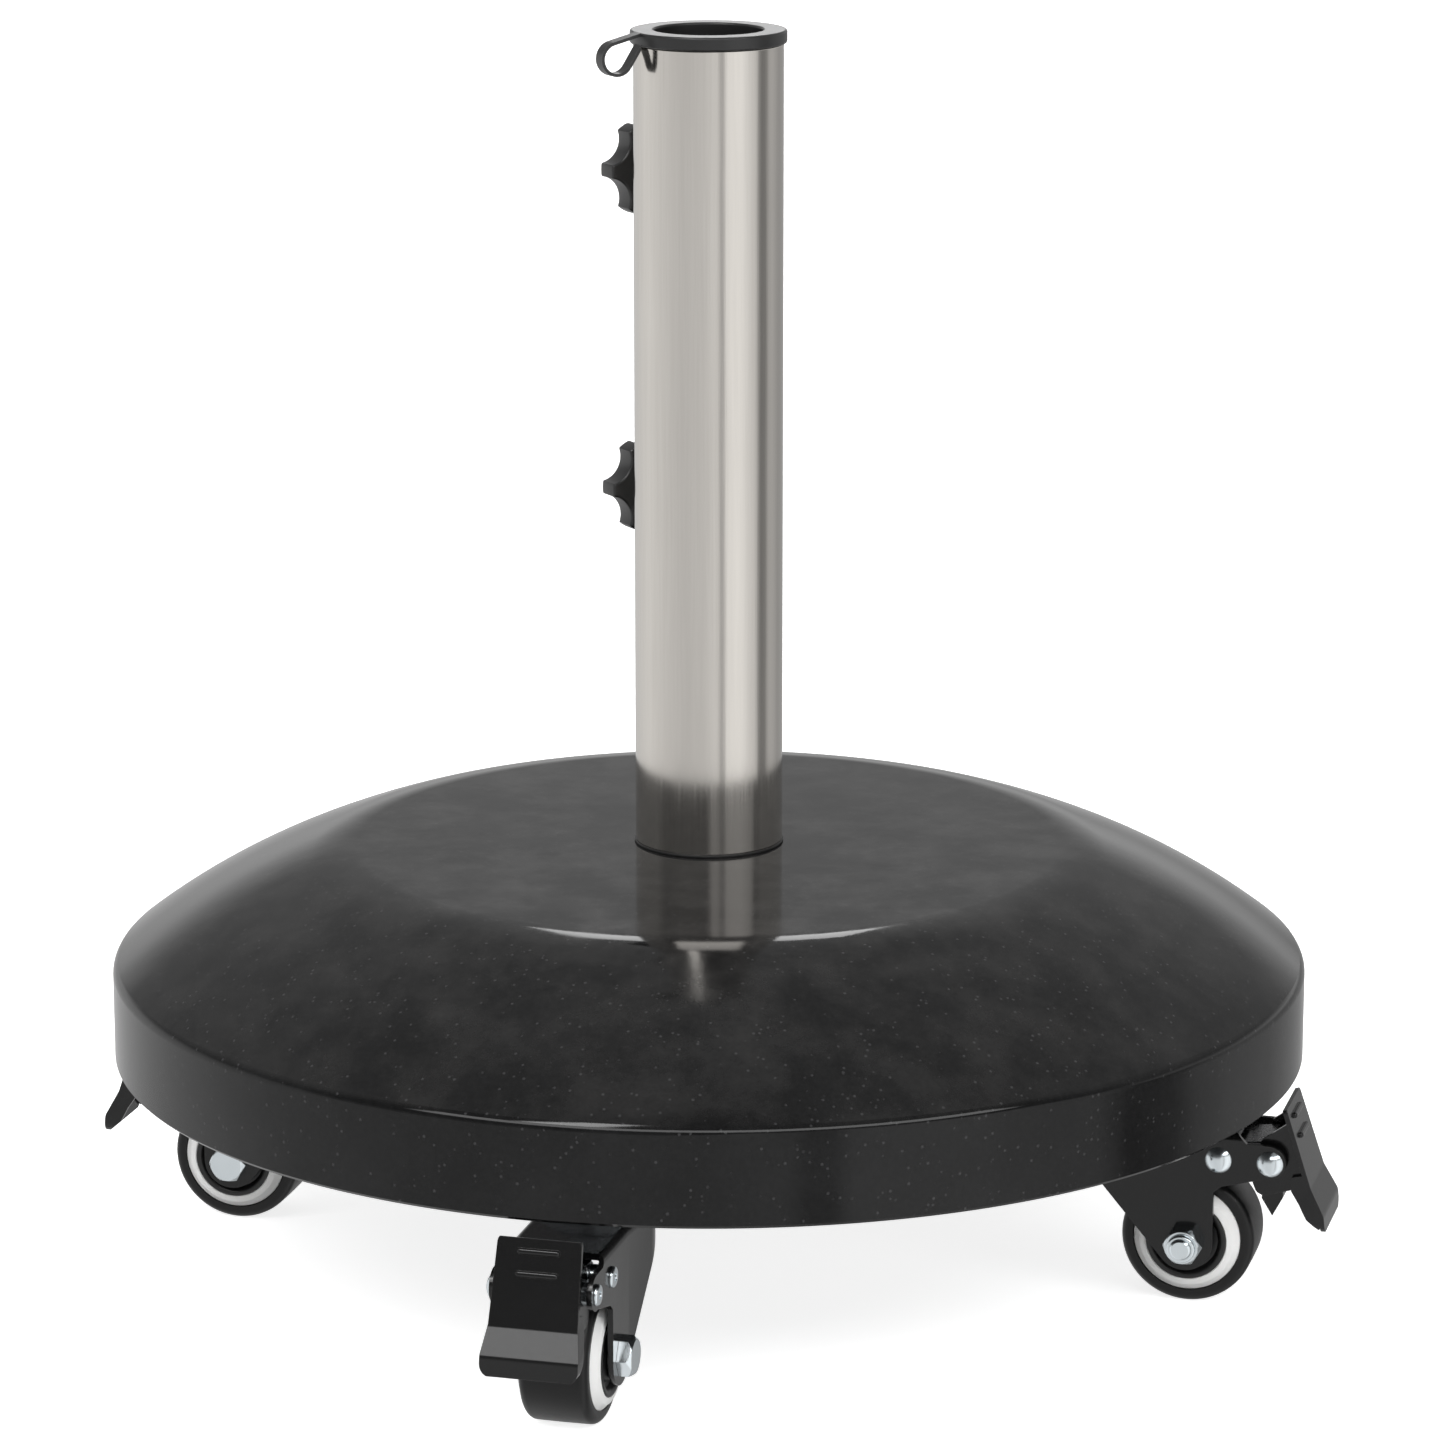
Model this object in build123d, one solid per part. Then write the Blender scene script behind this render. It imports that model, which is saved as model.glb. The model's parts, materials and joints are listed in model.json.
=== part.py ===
from build123d import *
from math import atan2, cos, degrees, radians, sin, sqrt, tan
import os

# Parasol base: a polished granite disc on four braked swivel castors, with a steel
# tube for the pole. All sizes are in millimetres and +Z is up. The origin is on the
# floor under the tube's axis, and the castors stand out along +X, -Y, -X and +Y.

os.makedirs("parts", exist_ok=True)

# ---- wheels ----
wheel_radius = 25.0
tyre_width = 25.2
tyre_depth = 5.0           # radial
tyre_shoulder = 3.0
rim_edge_setback = 0.4     # of the pale ring's outer edge, behind the side of the tyre
rim_lip_rise = 2.6         # of its inner edge, out from the side of the tyre
rim_ring_width = 4.9       # the pale ring that shows round the hub cover
rim_step = 0.5
web_setback = 3.6          # of the web behind the hub covers
hub_cover_dish = 2.2
hub_cover_rise = 0.2       # the hub cover stands this far out of the ring
hub_boss_radius = 8.4
hub_to_fork = 1.0
bush_wall = 2.0
running_clearance = 0.06   # radial, for every bore that turns on its pin

# ---- castor fork, in the castor's own upright plane ----
swivel_offset = 33.8       # swivel axis to axle
wheel_to_fork = 3.8        # free air between the tyre and each cheek
fork_sheet = 2.0
crown_sheet = 2.5
crown_radius = 20.6
crown_bend = 3.0
crown_skirt = 4.2          # the crown's edge turns down this far all round its back
cheek_flare_u = -10.0      # behind this the cheeks spread to meet the crown
crown_over_wheel = 18.5    # fork top above the top of the wheel
leg_radius = 10.7
leg_front = 10.5
fork_slant = 51.0          # degrees, the sloping back edge of the fork
arm_drop = 3.6             # the arms lie this far below the crown
arm_depth = 17.0
arm_lobe_radius = 6.4
arm_step_back = 6.0        # the crown steps down to the arms behind the front of the wheel

# ---- axle ----
axle_radius = 4.0
bolt_flats = 13.0
bolt_head_height = 5.3
nut_height = 6.4
nut_collar_height = 1.9
nut_collar_wall = 1.3
bolt_tip = 1.2
bolt_chamfer = 0.4         # flats lost to the round chamfer at each hexagon's face
hexagon_cone = 4.0         # spread of that chamfer below the face
hole_clearance = 0.15

# ---- rivets ----
rivet_radius = 3.0
rivet_collar_radius = 4.0
rivet_dome_radius = 5.0
rivet_dome_height = 2.4
rivet_clinch_radius = 3.8
rivet_clinch_height = 1.5
rivet_spacing = 19.2
pivot_past_wheel = 6.3     # brake pivot beyond the front of the wheel
pivot_over_wheel = 8.0     # brake pivot above the top of the wheel

# ---- brake pedal, measured from its pivot ----
pedal_sheet = 1.8
pedal_top = (4.4, 20.0)
pedal_bend = (14.1, -9.4)
pedal_heel = (19.4, -19.2)
pedal_toe = (19.9, -25.4)
pedal_bend_radius = 7.0
pedal_heel_radius = 4.0
pedal_top_inset = 3.4      # the plate is this much narrower than the fork on each side
pedal_waist_inset = 2.4
pedal_toe_inset = 0.8
pedal_toe_corner = 4.5
pedal_top_corner = 2.6
ear_sheet = 1.6
ear_gap = 2.6              # between each ear and the fork arm beside it
ear_corner = 3.0
rib_length = 15.4
rib_width = 2.2
rib_height = 1.3
rib_edge_round = 0.9
rib_drops = (4.6, 12.4)    # down the plate from its top edge
shoe_sleeve_radius = 5.2
shoe_half_width = 7.0
shoe_to_tyre = 7.2         # free air between the raised shoe and the tyre
leaf_sheet = 0.7
leaf_to_ear = 1.4
leaf_tail = 8.5            # length of the tail that bears up against the crown

# ---- swivel bearing and stem ----
kingpin_radius = 5.0
kingpin_head_radius = 8.5
kingpin_head_height = 3.5
body_gap = 0.3             # between pieces that move past each other
race_ring_height = 1.0
race_ring_inner = 9.5
ball_radius = 1.6
ball_circle = 12.8
ball_count = 16
race_sheet = 2.2
race_radius = 19.6
race_skirt = 2.4
stem_collar_height = 9.0
stem_flats = 17.0
stem_radius = 4.9
stem_length = 22.0
insert_radius = 8.0
insert_length = 26.0
insert_bore = 5.0

# ---- castors on the stone ----
castor_from_rim = 70.8     # swivel axes, in from the stone's rim
castor_places = {"right": 0.0, "front": -90.0, "left": 180.0, "back": 90.0}

# ---- stone ----
stone_radius = 224.0
stone_rim_height = 35.0
stone_height = 77.9
stone_slope_reach = 92.0   # from the rim in to the flat top
stone_shoulder_radius = 55.0
stone_shoulder_turn = 18.0  # degrees turned before the long slope begins
stone_edge_round = 2.4
stone_foot_chamfer = 1.2
tie_hole_radius = 7.0
tie_recess_radius = 22.0
tie_recess_depth = 14.0

# ---- tube ----
tube_radius = 27.5
tube_wall = 1.2
tube_length = 298.2
gasket_height = 1.0
gasket_overhang = 0.4
gasket_inner = 18.0
floor_plate_height = 6.0
tie_bolt_radius = 6.0
tie_bolt_flats = 19.0
tie_bolt_head = 7.5
tie_washer_radius = 18.5
tie_washer_height = 3.0
tie_bolt_reach = 5.0        # thread that stands in the floor plate

# ---- pole adapter cap ----
cap_hole_radius = 20.0
cap_flange_height = 5.0
cap_flange_overhang = 1.2
cap_sleeve_depth = 35.0
cap_sleeve_wall = 1.8
cap_sleeve_clearance = 0.08
cap_seat_gap = 0.2
cap_rib_count = 8
cap_rib_width = 2.0
cap_edge_round = 0.8
loop_angle = 222.0
loop_width = 5.2
loop_sheet = 1.2
loop_reach = 15.6           # outward from the flange
loop_bow_radius = 6.4
loop_root_radius = 2.1
loop_root_drop = 2.0        # of its root and of its bow, below the top of the cap
loop_bow_drop = 8.8

# ---- clamping knobs ----
knob_angle = 135.0
knob_drops = {"upper": 56.0, "lower": 176.0}   # below the top of the cap
boss_radius = 7.0
boss_length = 5.0
stud_radius = 3.95
stud_clearance = 0.05
stud_reach = 2.8            # of the stud's tip inside the tube at rest
knob_radius = 18.1
knob_gap = 7.0              # from the boss to the knob's inner face
knob_depth = 9.7
knob_lobes = 6
knob_lobe_width = 5.0
knob_waist_radius = 13.5
knob_hub_radius = 9.0
knob_hub_height = 1.2
knob_socket_depth = 7.0
knob_edge_round = 0.9

# ---- heights that follow from the sizes above ----
axle_z = wheel_radius
fork_top = 2 * wheel_radius + crown_over_wheel
race_ring_top = fork_top + race_ring_height
ball_z = race_ring_top + body_gap + ball_radius
race_underside = ball_z + ball_radius + 0.05
stem_collar_z = race_underside + race_sheet
stone_underside = stem_collar_z + stem_collar_height
stone_top = stone_underside + stone_height
tube_foot = stone_top + gasket_height
tube_end = tube_foot + tube_length
cap_underside = tube_end + cap_seat_gap
cap_top = cap_underside + cap_flange_height
tube_inner = tube_radius - tube_wall
cap_sleeve_radius = tube_inner - cap_sleeve_clearance
cap_radius = tube_radius + cap_flange_overhang

# ---- places and widths that follow from the sizes above ----
stone_flat_radius = stone_radius - stone_slope_reach
castor_circle = stone_radius - castor_from_rim
castor_axle_circle = castor_circle + swivel_offset
rim_radius = wheel_radius - tyre_depth
hub_recess = tyre_width / 2 - web_setback
rim_face = tyre_width / 2 + rim_lip_rise
bush_radius = axle_radius + bush_wall
fork_inner = tyre_width / 2 + wheel_to_fork
fork_half_width = fork_inner + fork_sheet
arm_step_reach = wheel_radius - arm_step_back
pivot_u = wheel_radius + pivot_past_wheel
pivot_z = 2 * wheel_radius + pivot_over_wheel
anchor_u = pivot_u - rivet_spacing
ear_outer = fork_inner - ear_gap
ear_inner = ear_outer - ear_sheet
pedal_top_half = fork_half_width - pedal_top_inset
pedal_waist_half = fork_half_width - pedal_waist_inset
pedal_toe_half = fork_half_width - pedal_toe_inset
nut_collar_radius = axle_radius + nut_collar_wall
stud_bore = stud_radius + stud_clearance
stud_tip_radius = tube_inner - stud_reach
knob_face = tube_radius + boss_length + knob_gap


def save(part, node):
    """Write one node's solids to its own file."""
    part.label = node
    export_step(part, f"parts/{node}.step")


def upright(sketch):
    """Stand a sketch drawn in XY up into the XZ plane."""
    return Rot(90, 0, 0) * sketch


def ring(outer, inner, z_low, z_high):
    """An upright tube between two heights."""
    body = Cylinder(outer, z_high - z_low, align=(Align.CENTER, Align.CENTER, Align.MIN))
    if inner > 0:
        body -= Cylinder(inner, z_high - z_low, align=(Align.CENTER, Align.CENTER, Align.MIN))
    return Pos(0, 0, z_low) * body


def crossbar(radius, low, high, u, z):
    """A round bar along the castor's Y direction, from y=low to y=high."""
    bar = Rot(-90, 0, 0) * Cylinder(radius, high - low, align=(Align.CENTER, Align.CENTER, Align.MIN))
    return Pos(u, low, z) * bar


# ------------------------------------------------------------------ base pieces

def stone_base():
    low = stone_underside
    edge_z = low + stone_rim_height
    shoulder = JernArc((stone_flat_radius, stone_top), (1, 0), stone_shoulder_radius, -stone_shoulder_turn)
    slope = TangentArc(shoulder @ 1, (stone_radius, edge_z), tangent=shoulder % 1)
    outline = [
        Line((0, stone_top), (stone_flat_radius, stone_top)),
        shoulder,
        slope,
        Line((stone_radius, edge_z), (stone_radius, low)),
        Line((stone_radius, low), (0, low)),
        Line((0, low), (0, stone_top)),
    ]
    face = make_face(Curve() + outline)
    corners = face.vertices().filter_by(lambda v: abs(v.X - stone_radius) < 0.01)
    top_corner = corners.sort_by(Axis.Y)[-1:]
    face = fillet(top_corner, stone_edge_round)
    corners = face.vertices().filter_by(lambda v: abs(v.X - stone_radius) < 0.01)
    face = chamfer(corners.sort_by(Axis.Y)[:1], stone_foot_chamfer)
    stone = revolve(upright(face), Axis.Z)
    stone -= ring(tie_hole_radius, 0, low - 1, stone_top + 1)
    stone -= ring(tie_recess_radius, 0, low - 1, low + tie_recess_depth)
    for angle in castor_places.values():
        hole = ring(insert_radius, 0, low - 1, low + insert_length)
        stone -= Rot(0, 0, angle) * Pos(castor_circle, 0, 0) * hole
    return stone


def pole_tube():
    tube = ring(tube_radius, tube_inner, tube_foot, tube_end)
    for drop in knob_drops.values():
        hole = crossbar(stud_bore + 0.4, 0, tube_radius + 1, 0, cap_top - drop)
        tube -= Rot(0, 0, knob_angle - 90) * hole
    return tube


def tube_floor_plate():
    return ring(tube_inner, tie_bolt_radius, tube_foot, tube_foot + floor_plate_height)


def tie_bolt():
    seat = stone_underside + tie_recess_depth - tie_washer_height
    hexagon = RegularPolygon(tie_bolt_flats / 2, 6, major_radius=False)
    head = Pos(0, 0, seat - tie_bolt_head) * extrude(hexagon, tie_bolt_head)
    head = chamfer(head.edges().group_by(Axis.Z)[0], 0.8)
    shank = ring(tie_bolt_radius - hole_clearance, 0, seat, tube_foot + tie_bolt_reach)
    return head + shank


def tie_washer():
    seat = stone_underside + tie_recess_depth
    return ring(tie_washer_radius, tie_bolt_radius + hole_clearance, seat - tie_washer_height, seat)


def foot_gasket():
    return ring(tube_radius + gasket_overhang, gasket_inner, stone_top, tube_foot)


def knob_bosses():
    bosses = []
    for drop in knob_drops.values():
        boss = crossbar(boss_radius, tube_radius - 6, tube_radius + boss_length, 0, cap_top - drop)
        boss -= crossbar(stud_bore, 0, tube_radius + boss_length + 1, 0, cap_top - drop)
        boss -= ring(tube_radius, 0, 0, cap_top + 10)
        bosses.append(Rot(0, 0, knob_angle - 90) * boss)
    return Compound(children=bosses)


def around_stone(piece):
    """One copy of a piece, drawn on its own swivel axis, under each castor place."""
    copies = [Rot(0, 0, a) * Pos(castor_circle, 0, 0) * piece for a in castor_places.values()]
    return Compound(children=copies)


def castor_insert():
    low = stone_underside
    insert = ring(insert_radius, insert_bore, low, low + insert_length)
    groove = ring(insert_radius + 1, insert_radius - 0.6, 0, 1.2)
    for step in range(1, 6):
        insert -= Pos(0, 0, low + step * insert_length / 6) * groove
    return insert


def castor_stem():
    hexagon = RegularPolygon(stem_flats / 2, 6, major_radius=False)
    collar = Pos(0, 0, stem_collar_z) * extrude(hexagon, stem_collar_height)
    thread = ring(stem_radius, 0, stone_underside, stone_underside + stem_length)
    under_crown = fork_top - crown_sheet - body_gap
    kingpin = ring(kingpin_radius, 0, under_crown, stem_collar_z)
    head = ring(kingpin_head_radius, 0, under_crown - kingpin_head_height, under_crown)
    head = fillet(head.edges().group_by(Axis.Z)[0], 1.5)
    return collar + thread + kingpin + head


def upper_race():
    skirt_low = race_ring_top + body_gap
    race = ring(race_radius, kingpin_radius + 0.02, skirt_low, stem_collar_z)
    race -= ring(race_radius - race_skirt, 0, skirt_low - 1, race_underside)
    top_rims = race.edges().filter_by(GeomType.CIRCLE).group_by(Axis.Z)[-1]
    return fillet(top_rims.sort_by(SortBy.RADIUS)[-1:], 1.4)


def bearing_balls():
    balls = []
    for angle in castor_places.values():
        for index in range(ball_count):
            turn = Rot(0, 0, 360 * index / ball_count)
            place = Rot(0, 0, angle) * Pos(castor_circle, 0, ball_z) * turn * Pos(ball_circle, 0, 0)
            balls.append(place * Sphere(ball_radius))
    return Compound(children=balls)


# ---------------------------------------------------------------- castor pieces
# Each is drawn with the axle's foot at the origin, +X pointing outward.

def fork_plan(inset):
    """The fork seen from above: a round crown that narrows to two straight cheeks."""
    crown = Pos(-swivel_offset, 0) * Circle(crown_radius - inset)
    width = 2 * (fork_half_width - inset)
    neck = Pos(cheek_flare_u - 0.5, 0) * Rectangle(1, width)
    reach = pivot_u + 2 * arm_lobe_radius - cheek_flare_u
    cheeks = Pos(cheek_flare_u, 0) * Rectangle(reach, width, align=(Align.MIN, Align.CENTER))
    return make_hull(crown.edges() + neck.edges()) + cheeks


def fork_side():
    """The fork seen from the side."""
    slant = radians(fork_slant)
    leg_centre = (leg_front - leg_radius, axle_z)
    foot = (leg_centre[0] - leg_radius * sin(slant), leg_centre[1] - leg_radius * cos(slant))
    crown_low = fork_top - crown_skirt
    crown_back = -swivel_offset - crown_radius - 1
    slant_back = foot[0] - (crown_low - foot[1]) / tan(slant)
    arm_top = fork_top - arm_drop
    arm_low = fork_top - arm_drop - arm_depth
    plate = make_face(Polyline(
        (slant_back, crown_low),
        (crown_back, crown_low),
        (crown_back, fork_top + 1),
        (arm_step_reach, fork_top + 1),
        (arm_step_reach, fork_top),
        (arm_step_reach + arm_drop, arm_top),
        (pivot_u - 0.8, pivot_z + arm_lobe_radius + 0.4),
        (pivot_u + 1, pivot_z - arm_lobe_radius + 1.2),
        (leg_front + 3, arm_low),
        (leg_front, arm_low - 2.5),
        (leg_front, axle_z),
        (leg_centre[0], axle_z),
        foot,
        close=True,
    ))
    plate += Pos(*leg_centre) * Circle(leg_radius)
    plate += Pos(pivot_u - 0.6, pivot_z + 0.4) * Circle(arm_lobe_radius)
    return plate


def castor_fork():
    outer = extrude(fork_plan(0), fork_top)
    outer = fillet(outer.edges().group_by(Axis.Z)[-1], crown_bend)
    inner = extrude(fork_plan(fork_sheet), fork_top - crown_sheet)
    inner = fillet(inner.edges().group_by(Axis.Z)[-1], crown_bend - fork_sheet + 0.2)
    shell = outer - inner
    front_open = Box(60, 2 * fork_inner, 30, align=(Align.MIN, Align.CENTER, Align.MIN))
    shell -= Pos(pivot_u - 3, 0, fork_top - 30) * front_open
    mouth = Box(60, 2 * fork_inner, 30, align=(Align.MIN, Align.CENTER, Align.CENTER))
    shell -= Pos(arm_step_reach, 0, fork_top) * mouth
    fork = shell & extrude(upright(fork_side()), 40, both=True)
    swivel = Pos(-swivel_offset, 0, 0)
    fork += swivel * ring(ball_circle + 3.6, race_ring_inner, fork_top - 0.5, race_ring_top)
    fork -= swivel * ring(kingpin_radius + running_clearance, 0, fork_top - 10, fork_top + 10)
    reach = fork_half_width + 1
    fork -= crossbar(axle_radius + hole_clearance, -reach, reach, 0, axle_z)
    fork -= crossbar(rivet_radius + 0.05, -reach, reach, anchor_u, pivot_z)
    fork -= crossbar(rivet_radius + 0.05, -reach, reach, pivot_u, pivot_z)
    return fork


def rivet(u, shoulders):
    """A rivet across the fork: domed on one side, clinched over on the other."""
    reach = fork_half_width
    body = crossbar(rivet_radius, -reach, reach, u, pivot_z)
    dome_ball = (rivet_dome_radius ** 2 + rivet_dome_height ** 2) / (2 * rivet_dome_height)
    dome = Sphere(dome_ball) & Pos(0, -dome_ball, 0) * Box(30, 2 * rivet_dome_height, 30)
    body += Pos(u, dome_ball - rivet_dome_height - reach, pivot_z) * dome
    clinch = crossbar(rivet_clinch_radius, reach, reach + rivet_clinch_height, u, pivot_z)
    clinch = fillet(clinch.edges().group_by(Axis.Y)[-1], 1.0)
    clinch -= crossbar(1.5, reach + 0.5, reach + 5, u, pivot_z)
    body += clinch
    for low, high in shoulders:
        body += crossbar(rivet_collar_radius, low, high, u, pivot_z)
    return body


def fork_rivets():
    cheek = fork_inner
    collar_low = ear_outer + body_gap
    anchor = rivet(anchor_u, [(-cheek, cheek)])
    pivot = rivet(pivot_u, [(-cheek, -collar_low), (collar_low, cheek)])
    return Compound(children=[anchor, pivot])


def axle_bush():
    bush = crossbar(bush_radius, -fork_inner, fork_inner, 0, axle_z)
    return bush - crossbar(axle_radius + 0.05, -fork_inner, fork_inner, 0, axle_z)


def hexagon_blank(height):
    """A hexagon along Z with the corners of its far face turned off round."""
    blank = extrude(RegularPolygon(bolt_flats / 2, 6, major_radius=False), height)
    top = bolt_flats / 2 - bolt_chamfer
    return blank & Cone(top + hexagon_cone, top, height, align=(Align.CENTER, Align.CENTER, Align.MIN))


def axle_bolt_set():
    """The bolt, headed on the +Y side, and its locking nut on the -Y side."""
    side = fork_half_width
    head = Pos(0, side, axle_z) * Rot(-90, 0, 0) * hexagon_blank(bolt_head_height)
    nut_end = side + nut_height + nut_collar_height
    shank = crossbar(axle_radius, -nut_end - bolt_tip, side, 0, axle_z)
    shank = chamfer(shank.edges().group_by(Axis.Y)[0], 0.8)
    collar = ring(nut_collar_radius, 0, nut_height, nut_height + nut_collar_height)
    nut = hexagon_blank(nut_height) + fillet(collar.edges().group_by(Axis.Z)[-1], 0.9)
    nut = Pos(0, -side, axle_z) * Rot(90, 0, 0) * nut
    nut -= crossbar(axle_radius + 0.05, -nut_end, side, 0, axle_z)
    return Compound(children=[head + shank, nut])


def detent_spring():
    """A leaf spring round the anchor rivet. Its tongue lies over the brake's sleeve
    and its tail bears up against the crown."""
    inner = rivet_collar_radius + 0.1
    hook = Circle(inner + leaf_sheet) - Circle(inner)
    hook -= Rectangle(3 * inner, 3 * inner, align=(Align.MAX, Align.MAX))
    tongue_end = rivet_spacing - 1
    sleeve_top = shoe_sleeve_radius + 2 * body_gap
    tongue = make_face(Polyline(
        (0, inner),
        (tongue_end, sleeve_top),
        (tongue_end, sleeve_top + leaf_sheet),
        (0, inner + leaf_sheet),
        close=True,
    ))
    crown_under = fork_top - crown_sheet - pivot_z
    tail = make_face(Polyline(
        (0, inner),
        (0, inner + leaf_sheet),
        (-leaf_tail, crown_under),
        (-leaf_tail - 1, crown_under - leaf_sheet),
        close=True,
    ))
    half = ear_inner - leaf_to_ear
    strip = extrude(upright(hook + tongue + tail), half, both=True)
    return Pos(anchor_u, 0, pivot_z) * strip


def on_axle(profile):
    """Turn a wheel profile, given as (half width, radius) points, about the axle."""
    face = make_face(Polyline(*[(r, w) for w, r in profile], close=True))
    solid = revolve(upright(face), Axis.Z)
    return Pos(0, 0, axle_z) * Rot(90, 0, 0) * solid


def tyre():
    section = Pos(rim_radius, 0) * RectangleRounded(2 * tyre_depth, tyre_width, tyre_shoulder)
    section &= Pos(rim_radius, 0) * Rectangle(2 * tyre_depth, tyre_width, align=(Align.MIN, Align.CENTER))
    solid = revolve(upright(section), Axis.Z)
    return Pos(0, 0, axle_z) * Rot(90, 0, 0) * solid


def wheel_rim():
    """A web with a dished ring on each side, set back into the tyre at its outer edge."""
    ring_inner = rim_radius - rim_ring_width
    ring_middle = rim_radius - rim_ring_width / 2
    rim_edge = tyre_width / 2 - rim_edge_setback
    half = [
        (rim_edge, rim_radius),
        (rim_face - rim_step - 0.6, ring_middle + 0.3),
        (rim_face - 0.6, ring_middle),
        (rim_face, ring_inner),
        (hub_recess, ring_inner),
        (hub_recess, bush_radius + running_clearance),
    ]
    return on_axle(half + [(-w, r) for w, r in reversed(half)])


def hub_covers():
    """A dished black cover with a raised boss, pressed into the rim on each side."""
    outer = rim_radius - rim_ring_width
    bore = bush_radius + running_clearance + body_gap
    lip = rim_face + hub_cover_rise
    boss = fork_inner - hub_to_fork
    profile = [
        (hub_recess, outer),
        (lip - 0.5, outer),
        (lip, outer - 0.5),
        (lip, outer - 1.8),
        (lip - hub_cover_dish, outer - 3.0),
        (lip - hub_cover_dish, hub_boss_radius + 1.2),
        (boss, hub_boss_radius),
        (boss, bore),
        (hub_recess, bore),
    ]
    near = on_axle(profile)
    far = on_axle([(-w, r) for w, r in profile])
    return Compound(children=[near, far])


def pedal_point(offset):
    return (pivot_u + offset[0], pivot_z + offset[1])


def pedal_plate():
    """The foot plate: a bent sheet, narrow at the top and wide at the toe."""
    path = FilletPolyline(
        pedal_point(pedal_top),
        pedal_point(pedal_bend),
        pedal_point(pedal_heel),
        pedal_point(pedal_toe),
        radius=[pedal_bend_radius, pedal_heel_radius],
    )
    sheet = extrude(upright(trace(path, pedal_sheet)), 2 * pedal_toe_half, both=True)
    return sheet & pedal_front(0)


def pedal_front(inset):
    """The pedal's outline from the front, as a block along X."""
    widths = [
        (pedal_top_half, pivot_z + pedal_top[1] + 1),
        (pedal_waist_half, pivot_z + pedal_bend[1] + 1),
        (pedal_toe_half, pivot_z + pedal_heel[1] + 1.5),
        (pedal_toe_half, pivot_z + pedal_toe[1] - 0.4),
    ]
    points = [(w - inset, z) for w, z in widths] + [(inset - w, z) for w, z in reversed(widths)]
    face = make_face(Polyline(*points, close=True))
    if inset == 0:
        face = fillet(face.vertices().group_by(Axis.Y)[0], pedal_toe_corner)
        face = fillet(face.vertices().group_by(Axis.Y)[-1], pedal_top_corner)
    return extrude(Plane.YZ * face, 2 * pivot_u)


def pedal_outline(points):
    """A closed outline on the castor's upright plane, from offsets from the pivot."""
    return make_face(Polyline(*[pedal_point(point) for point in points], close=True))


def pedal_ears():
    """Two cheeks that hang the plate on its pivot."""
    top, bend = pedal_top, pedal_bend
    outline = pedal_outline([
        (top[0] + 1.4, top[1] - 5.2),
        (top[0] - 8.6, 7.6),
        (-7.6, -7.6),
        (-5.6, -12.6),
        (-2.6, -13.9),
        (bend[0] - 6.0, bend[1] - 1.2),
        (bend[0], bend[1]),
    ])
    outline = fillet(outline.vertices().filter_by(lambda v: v.X < pivot_u - 2), ear_corner)
    ears = extrude(upright(outline), ear_outer, both=True)
    return ears - extrude(upright(outline), ear_inner, both=True)


def pedal_skirt():
    """The turned-back edge round the lower half of the plate."""
    bend, heel = pedal_bend, pedal_heel
    outline = pedal_outline([
        (bend[0] - 1.7, bend[1] + 5.2),
        (bend[0] - 6.4, bend[1] + 4.2),
        (bend[0] - 6.4, bend[1] - 1.0),
        (bend[0] - 3.2, bend[1] - 5.8),
        (bend[0] - 0.4, heel[1] - 1.4),
        (heel[0] - 1.0, heel[1] - 5.4),
        (heel[0], heel[1] - 3.6),
        heel,
        bend,
    ])
    block = extrude(upright(outline), 2 * pedal_toe_half, both=True)
    return (block & pedal_front(0)) - pedal_front(pedal_sheet)


def pedal_ribs():
    """Raised grip ribs across the plate's slope."""
    fall = Vector(pedal_bend[0] - pedal_top[0], 0, pedal_bend[1] - pedal_top[1]).normalized()
    normal = Vector(-fall.Z, 0, fall.X)
    u, z = pedal_point(pedal_top)
    ribs = []
    for drop in rib_drops:
        centre = Vector(u, 0, z) + fall * drop + normal * (pedal_sheet / 2 - 0.3)
        rib = extrude(SlotOverall(rib_length, rib_width), rib_height + 0.3)
        rib = fillet(rib.edges().group_by(Axis.Z)[-1], rib_edge_round)
        ribs.append(Plane(origin=centre, x_dir=(0, 1, 0), z_dir=normal) * rib)
    return ribs


def brake_pedal():
    pedal = pedal_plate() + pedal_ears() + pedal_skirt()
    for rib in pedal_ribs():
        pedal += rib
    reach = 2 * fork_half_width
    return pedal - crossbar(rivet_radius + running_clearance, -reach, reach, pivot_u, pivot_z)


def brake_shoe():
    """A sleeve on the pivot with a wedge that swings against the tyre."""
    sleeve = crossbar(shoe_sleeve_radius, -ear_inner, ear_inner, pivot_u, pivot_z)
    tip_distance = wheel_radius + shoe_to_tyre
    tip_u = pivot_u - 0.5
    tip_z = axle_z + sqrt(tip_distance ** 2 - tip_u ** 2)
    wedge = make_face(Polyline(
        (pivot_u - 3.4, pivot_z - 3),
        (pivot_u - 4.6, tip_z + 6.6),
        (tip_u, tip_z),
        (pivot_u + 3.4, tip_z + 7.4),
        (pivot_u + 3.4, pivot_z - 3),
        close=True,
    ))
    shoe = sleeve + extrude(upright(wedge), shoe_half_width, both=True)
    bore = crossbar(rivet_radius + running_clearance, -ear_outer, ear_outer, pivot_u, pivot_z)
    return shoe - bore


# ------------------------------------------------------------------ cap pieces

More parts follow.
